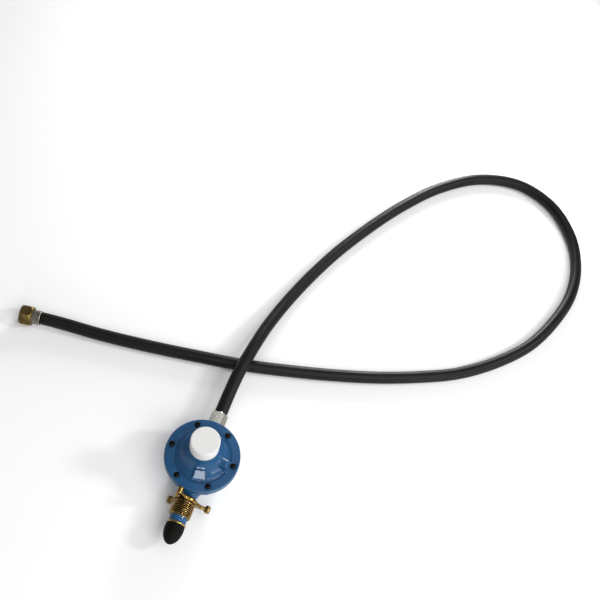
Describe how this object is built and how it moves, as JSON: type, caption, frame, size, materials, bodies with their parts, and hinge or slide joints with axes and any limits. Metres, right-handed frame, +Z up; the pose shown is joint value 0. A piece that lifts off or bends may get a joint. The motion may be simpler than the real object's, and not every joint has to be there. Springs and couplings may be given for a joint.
{
  "type": "propane regulator hose",
  "caption": "Low-pressure gas regulator with a hand-tightened inlet nut and soft nose, a crimped rubber hose, and a hexagon flare nut on its far end.",
  "frame": {"origin": "centre of the regulator's flat base, on the surface it stands on", "axes": "+Z up the diaphragm axis to the cap, +Y out of the outlet to the hose, -Y out of the inlet nut, +X towards the vent boss"},
  "size_m": [0.6123, 0.6257, 0.0812],
  "materials": {
    "blue_enamel": "glossy blue enamel on die-cast metal",
    "white_plastic": "satin off-white moulded plastic",
    "black_steel": "black oxide steel",
    "brass": "machined brass, slightly tarnished",
    "zinc_steel": "dull zinc-plated steel",
    "silver_sleeve": "bright crimped metal",
    "spring_steel": "bright drawn spring wire",
    "hose_rubber": "matt black rubber with faint lengthwise texture",
    "nose_rubber": "matt black moulded rubber",
    "inner_rubber": "dark grey rubber sheet",
    "fibre": "red-brown fibre washer",
    "bronze_mesh": "sintered bronze"
  },
  "bodies": {
    "housing": {"lower_body": "blue_enamel", "bonnet": "blue_enamel", "vent_screen": "bronze_mesh", "bonnet_screw_1": "black_steel", "bonnet_screw_2": "black_steel", "bonnet_screw_3": "black_steel", "bonnet_screw_4": "black_steel", "bonnet_screw_5": "black_steel", "bonnet_screw_6": "black_steel", "main_spring": "spring_steel", "diaphragm": "inner_rubber", "lever_pin": "spring_steel", "orifice": "brass", "inlet_stem": "blue_enamel", "inlet_filter": "bronze_mesh", "nose_ring": "brass", "rubber_nose": "nose_rubber", "outlet_insert": "brass", "outlet_sleeve": "silver_sleeve", "hose": "hose_rubber", "far_insert": "brass", "far_ferrule": "zinc_steel"},
    "washer": {"thrust_washer": "fibre"},
    "inlet_nut": {"hand_nut": "brass"},
    "seal": {"cap_seal": "inner_rubber"},
    "tower_cap": {"cap": "white_plastic"},
    "spring_seat": {"upper_spring_seat": "spring_steel"},
    "adjuster": {"adjusting_screw": "zinc_steel"},
    "diaphragm_centre": {"diaphragm_plate": "zinc_steel", "diaphragm_stem": "brass", "relief_spring": "spring_steel", "relief_nut": "brass"},
    "valve_lever": {"lever": "zinc_steel"},
    "valve": {"valve_holder": "brass", "seat_disc": "nose_rubber"},
    "outlet_nut": {"flare_nut": "brass"}
  },
  "joints": [
    {"name": "nut_slide", "type": "slide", "parent": "housing", "child": "washer", "axis": [0, -1, 0], "range_m": [0, 0.0038]},
    {"name": "nut_spin", "type": "hinge", "parent": "washer", "child": "inlet_nut", "pos_m": [0, -0.05, 0.021], "axis": [0, -1, 0], "continuous": true},
    {"name": "cap_lift", "type": "slide", "parent": "housing", "child": "seal", "axis": [0, 0, 1], "range_m": [0, 0.008]},
    {"name": "cap_turn", "type": "hinge", "parent": "seal", "child": "tower_cap", "pos_m": [0, 0, 0.073], "axis": [0, 0, 1], "range_deg": [0, 1440]},
    {"name": "seat_travel", "type": "slide", "parent": "housing", "child": "spring_seat", "axis": [0, 0, -1], "range_m": [0, 0.004]},
    {"name": "adjuster_turn", "type": "hinge", "parent": "spring_seat", "child": "adjuster", "pos_m": [0, 0, 0.072], "axis": [0, 0, -1], "range_deg": [0, 960]},
    {"name": "diaphragm_travel", "type": "slide", "parent": "housing", "child": "diaphragm_centre", "axis": [0, 0, 1], "range_m": [0, 0.0025], "stiffness_N_per_m": 1500, "springref_m": -0.001, "deforming": ["main_spring", "diaphragm"]},
    {"name": "lever_turn", "type": "hinge", "parent": "housing", "child": "valve_lever", "pos_m": [0, -0.013, 0.0145], "axis": [1, 0, 0], "range_deg": [0, 10.1]},
    {"name": "valve_travel", "type": "slide", "parent": "housing", "child": "valve", "axis": [0, -1, 0], "range_m": [0, 0.00115]},
    {"name": "flare_nut_spin", "type": "hinge", "parent": "housing", "child": "outlet_nut", "pos_m": [-0.23485, 0.09239, 0.0103], "axis": [-0.9888, -0.149, 0], "continuous": true}
  ],
  "couplings": [
    {"joint": "cap_turn", "follows": "cap_lift", "rad_per_m": 3141.6},
    {"joint": "adjuster_turn", "follows": "seat_travel", "rad_per_m": 4188.8},
    {"joint": "lever_turn", "follows": "diaphragm_travel", "rad_per_m": 69.93},
    {"joint": "valve_travel", "follows": "diaphragm_travel", "ratio": 0.4545}
  ]
}
